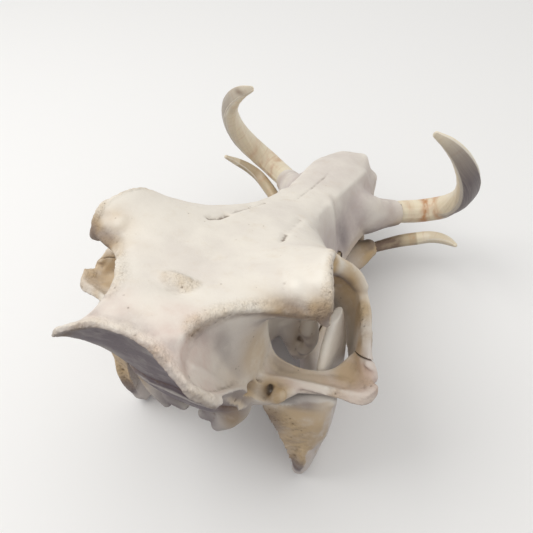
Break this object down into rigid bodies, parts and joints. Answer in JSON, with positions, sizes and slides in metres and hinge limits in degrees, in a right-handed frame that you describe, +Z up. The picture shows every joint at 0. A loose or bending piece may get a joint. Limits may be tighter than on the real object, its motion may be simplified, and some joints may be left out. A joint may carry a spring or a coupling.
{
  "type": "warthog skull",
  "caption": "Dry warthog skull with mandible, long curved upper tusks, thinner lower tusks and worn cheek teeth, resting on its jaw.",
  "frame": {"origin": "on the surface that the mandible stands on, under the middle of the skull's box", "axes": "+Y towards the snout, +X to the animal's right, +Z up"},
  "size_m": [0.2576, 0.3762, 0.2051],
  "materials": {
    "bone": "dry bleached bone, matt and finely pitted",
    "jaw_bone": "dry bone, tan stained, matt",
    "ivory": "worn tusk ivory, satin",
    "enamel": "stained tooth enamel, satin"
  },
  "bodies": {
    "root": {"cranium": "bone", "mandible": "jaw_bone", "upper_tusk_right": "ivory", "lower_tusk_right": "ivory", "upper_premolar_right": "enamel", "upper_first_molar_right": "enamel", "upper_last_molar_right": "enamel", "lower_premolar_right": "enamel", "lower_first_molar_right": "enamel", "lower_last_molar_right": "enamel", "upper_incisor_right": "enamel", "lower_incisor_1_right": "enamel", "lower_incisor_2_right": "enamel", "lower_incisor_3_right": "enamel", "upper_tusk_left": "ivory", "lower_tusk_left": "ivory", "upper_premolar_left": "enamel", "upper_first_molar_left": "enamel", "upper_last_molar_left": "enamel", "lower_premolar_left": "enamel", "lower_first_molar_left": "enamel", "lower_last_molar_left": "enamel", "upper_incisor_left": "enamel", "lower_incisor_1_left": "enamel", "lower_incisor_2_left": "enamel", "lower_incisor_3_left": "enamel"}
  },
  "joints": []
}
